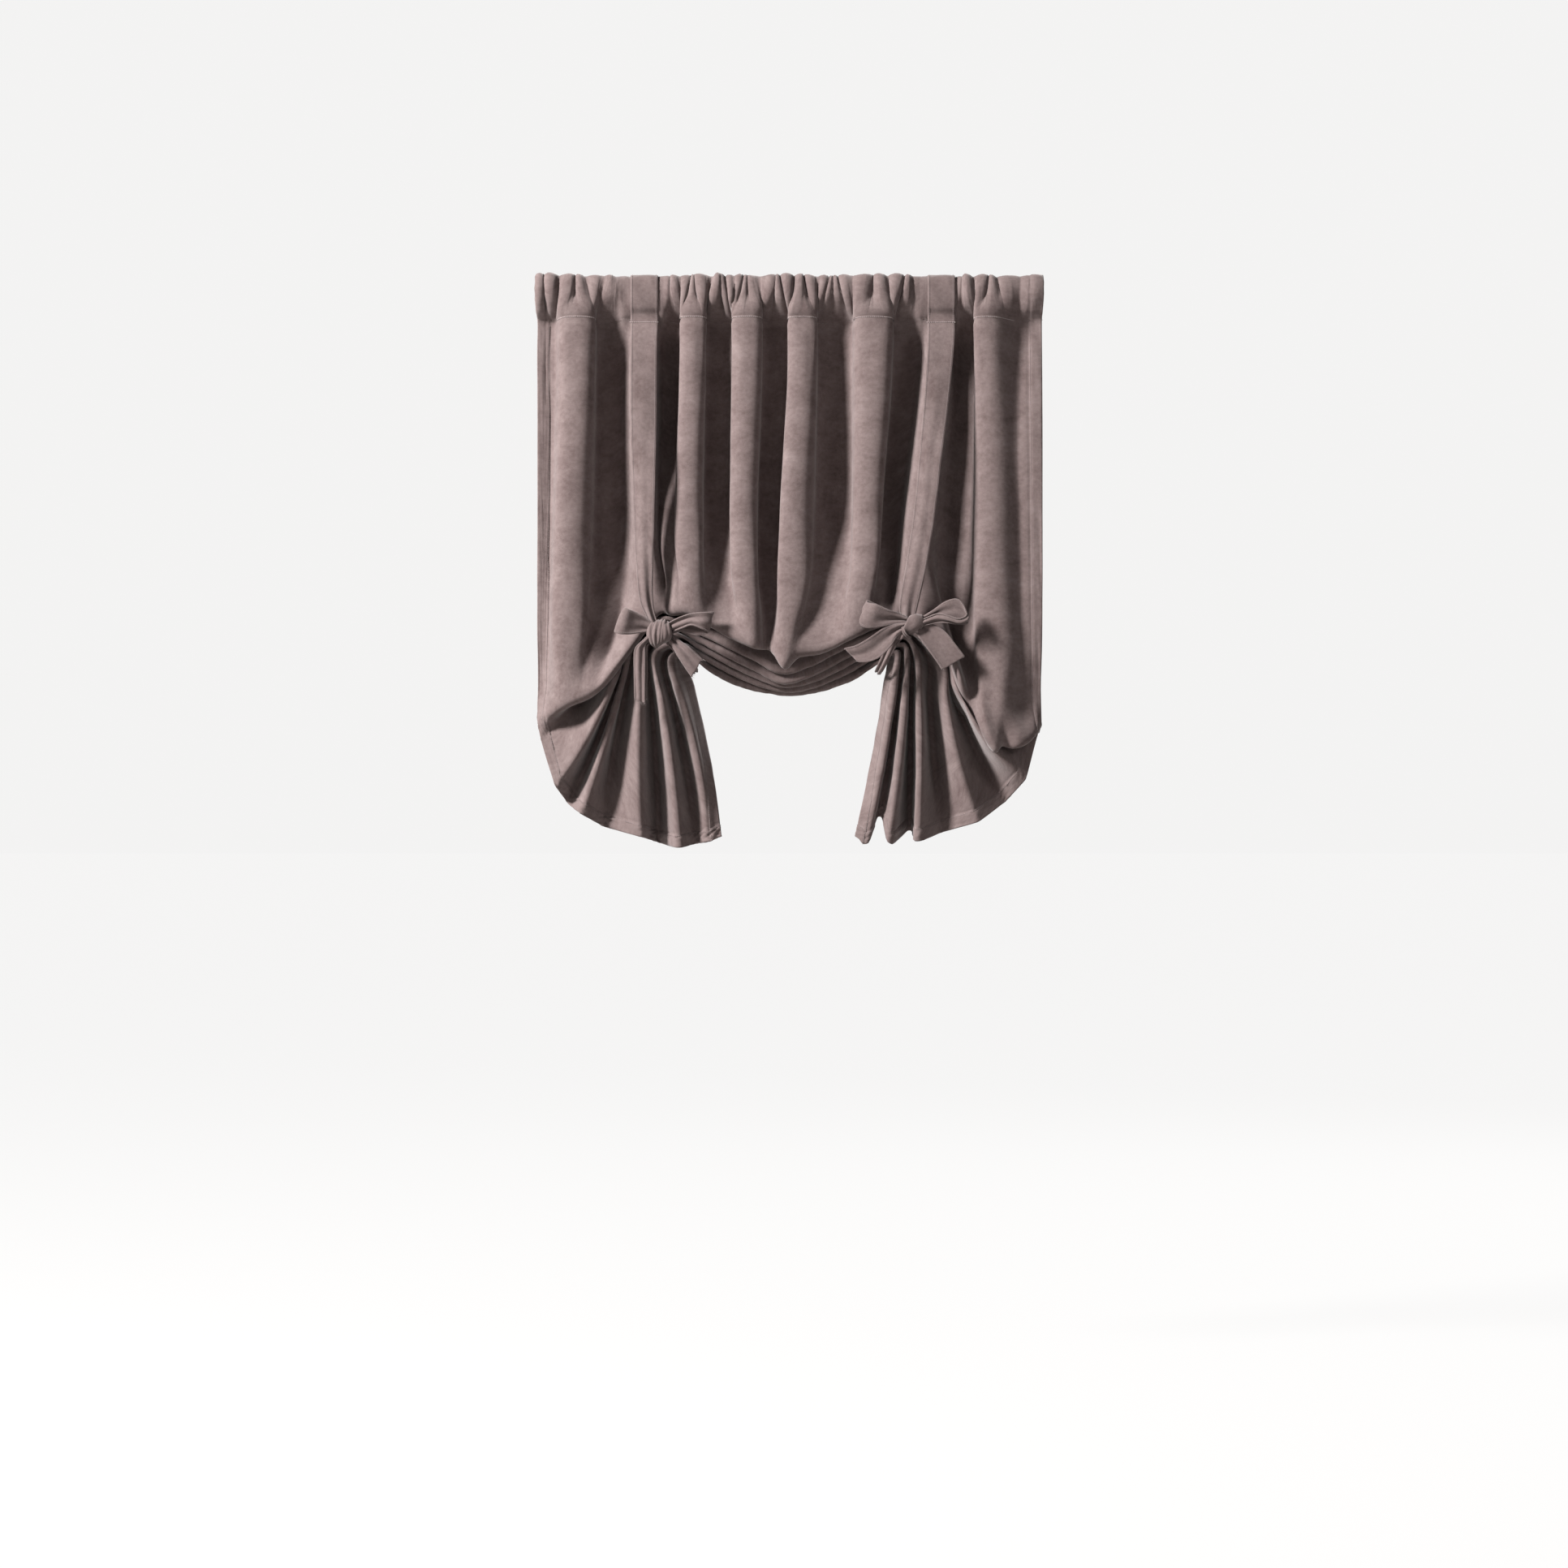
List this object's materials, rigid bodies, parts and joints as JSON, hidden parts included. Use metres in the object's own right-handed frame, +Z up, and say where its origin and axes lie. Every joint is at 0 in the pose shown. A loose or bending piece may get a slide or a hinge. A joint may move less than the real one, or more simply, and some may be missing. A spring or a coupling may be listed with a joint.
{
  "type": "tie up curtain",
  "caption": "Velvet tie-up curtain gathered on a rod pocket, its lower part pleated into a swag and held by tied bows, with a fanned tail at each side.",
  "frame": {"origin": "on the rod's axis, inside the rod pocket, at the middle of the hung width", "axes": "+X along the rod to the curtain's right as seen from the front, +Z up, the front faces -Y"},
  "size_m": [0.8601, 0.1346, 0.9807],
  "materials": {
    "panel_velvet": "soft taupe velvet pile with a bright sheen on the crests",
    "tie_velvet": "the panel's taupe velvet, doubled and pressed into straps"
  },
  "bodies": {
    "root": {"curtain_panel": "panel_velvet", "front_tie_left": "tie_velvet", "back_tie_left": "tie_velvet", "front_tie_right": "tie_velvet", "back_tie_right": "tie_velvet"}
  },
  "joints": []
}
